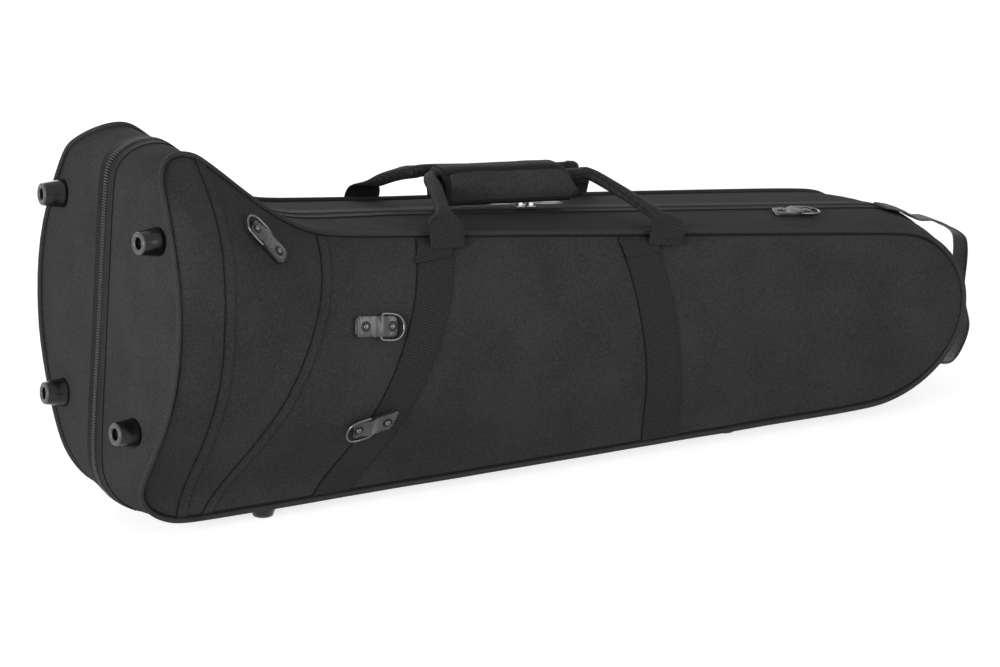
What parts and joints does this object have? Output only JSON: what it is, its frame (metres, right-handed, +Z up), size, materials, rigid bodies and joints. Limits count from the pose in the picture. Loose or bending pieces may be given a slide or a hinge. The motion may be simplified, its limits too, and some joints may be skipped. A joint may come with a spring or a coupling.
{
  "type": "shaped trombone case",
  "caption": "Flared soft case for a trombone with a zipped lid, padded carrying handle, strap rings, tail loop, hard feet and a fitted plush interior.",
  "frame": {"origin": "centre of the bounding box on the floor plane, under the base feet", "axes": "+X along the case from the flared bell end to the tail, +Y from the zipped tray to the lid, +Z up"},
  "size_m": [1.0086, 0.3032, 0.3742],
  "materials": {
    "cloth": "matt black woven nylon over foam",
    "edge_cloth": "plain black cloth, edge piping, binding and zipper coil",
    "webbing": "black woven webbing",
    "plush": "dark plush lining on board",
    "plush_foam": "plush over foam",
    "vinyl": "smooth black vinyl with a soft gloss",
    "foot_plastic": "moulded gloss black",
    "dark_metal": "black nickel wire",
    "bright_metal": "bright nickel"
  },
  "bodies": {
    "base": {"near_shell": "cloth", "near_lining": "plush", "near_binding": "edge_cloth", "near_piping": "edge_cloth", "near_zip_tape": "webbing", "near_teeth": "edge_cloth", "near_hinge_tape": "webbing", "near_strap_bell": "webbing", "near_strap_tail": "webbing", "near_seam_bell": "webbing", "near_seam_mid": "webbing", "near_end_foot_high": "foot_plastic", "near_end_foot_low": "foot_plastic", "near_base_foot_bell": "foot_plastic", "near_base_foot_tail": "foot_plastic", "near_bell_rest": "plush_foam", "near_neck_rest": "plush_foam", "near_slide_rest": "plush_foam", "near_tail_rest": "plush_foam", "mouthpiece_block": "plush_foam", "accessory_box": "plush_foam", "tail_loop": "webbing", "tab_high": "vinyl", "tab_mid": "vinyl", "tab_low": "vinyl", "tab_top": "vinyl"},
    "lid": {"far_shell": "cloth", "far_lining": "plush", "far_binding": "edge_cloth", "far_piping": "edge_cloth", "far_zip_tape": "webbing", "far_teeth": "edge_cloth", "far_hinge_tape": "webbing", "far_strap_bell": "webbing", "far_strap_tail": "webbing", "far_seam_bell": "webbing", "far_seam_mid": "webbing", "far_end_foot_high": "foot_plastic", "far_end_foot_low": "foot_plastic", "far_base_foot_bell": "foot_plastic", "far_base_foot_tail": "foot_plastic", "far_bell_rest": "plush_foam", "far_neck_rest": "plush_foam", "far_slide_rest": "plush_foam", "far_tail_rest": "plush_foam"},
    "near_handle": {"near_loop": "webbing", "grip": "edge_cloth"},
    "far_handle": {"far_loop": "webbing"},
    "box_cover": {"accessory_cover": "vinyl"},
    "bell_slider": {"slider_bell": "bright_metal"},
    "bell_pull": {"pull_bell": "bright_metal"},
    "tail_slider": {"slider_tail": "bright_metal"},
    "tail_pull": {"pull_tail": "bright_metal"},
    "high_ring": {"ring_high": "dark_metal"},
    "mid_ring": {"ring_mid": "dark_metal"},
    "low_ring": {"ring_low": "dark_metal"},
    "top_ring": {"ring_top": "dark_metal"}
  },
  "joints": [
    {"name": "lid_opens", "type": "hinge", "parent": "base", "child": "lid", "pos_m": [0, 0, 0.0076], "axis": [-1, 0, 0], "range_deg": [0, 140]},
    {"name": "near_handle_folds", "type": "hinge", "parent": "base", "child": "near_handle", "pos_m": [-0.15185, -0.08635, 0.24788], "axis": [0.9922, -0.0149, -0.124], "range_deg": [0, 120]},
    {"name": "far_handle_folds", "type": "hinge", "parent": "lid", "child": "far_handle", "pos_m": [-0.15185, 0.08635, 0.24788], "axis": [-0.9922, -0.0149, 0.124], "range_deg": [0, 120]},
    {"name": "box_cover_opens", "type": "hinge", "parent": "base", "child": "box_cover", "pos_m": [0.17362, -0.0037, 0.144], "axis": [-1, 0, 0], "range_deg": [0, 120]},
    {"name": "bell_slider_runs", "type": "slide", "parent": "base", "child": "bell_slider", "axis": [-0.9923, 0, 0.124], "range_m": [0, 0.185]},
    {"name": "tail_slider_runs", "type": "slide", "parent": "base", "child": "tail_slider", "axis": [0.9923, 0, -0.124], "range_m": [0, 0.34]},
    {"name": "bell_pull_lifts", "type": "hinge", "parent": "bell_slider", "child": "bell_pull", "pos_m": [-0.02132, 0, 0.25401], "axis": [0, 1, 0], "range_deg": [0, 30]},
    {"name": "tail_pull_lifts", "type": "hinge", "parent": "tail_slider", "child": "tail_pull", "pos_m": [-0.00952, 0, 0.25254], "axis": [0, -1, 0], "range_deg": [0, 25]},
    {"name": "high_ring_swings", "type": "hinge", "parent": "base", "child": "high_ring", "pos_m": [-0.35835, -0.1093, 0.29184], "axis": [0.6379, 0.6995, 0.3223], "range_deg": [0, 150]},
    {"name": "mid_ring_swings", "type": "hinge", "parent": "base", "child": "mid_ring", "pos_m": [-0.24711, -0.12665, 0.19406], "axis": [-0.1728, -0.2412, -0.955], "range_deg": [0, 150]},
    {"name": "low_ring_swings", "type": "hinge", "parent": "base", "child": "low_ring", "pos_m": [-0.25573, -0.12079, 0.09474], "axis": [-0.1736, -0.4437, 0.8792], "range_deg": [0, 150]},
    {"name": "top_ring_swings", "type": "hinge", "parent": "base", "child": "top_ring", "pos_m": [0.28228, -0.03315, 0.21276], "axis": [-0.0056, -0.999, -0.0451], "range_deg": [0, 150]}
  ]
}
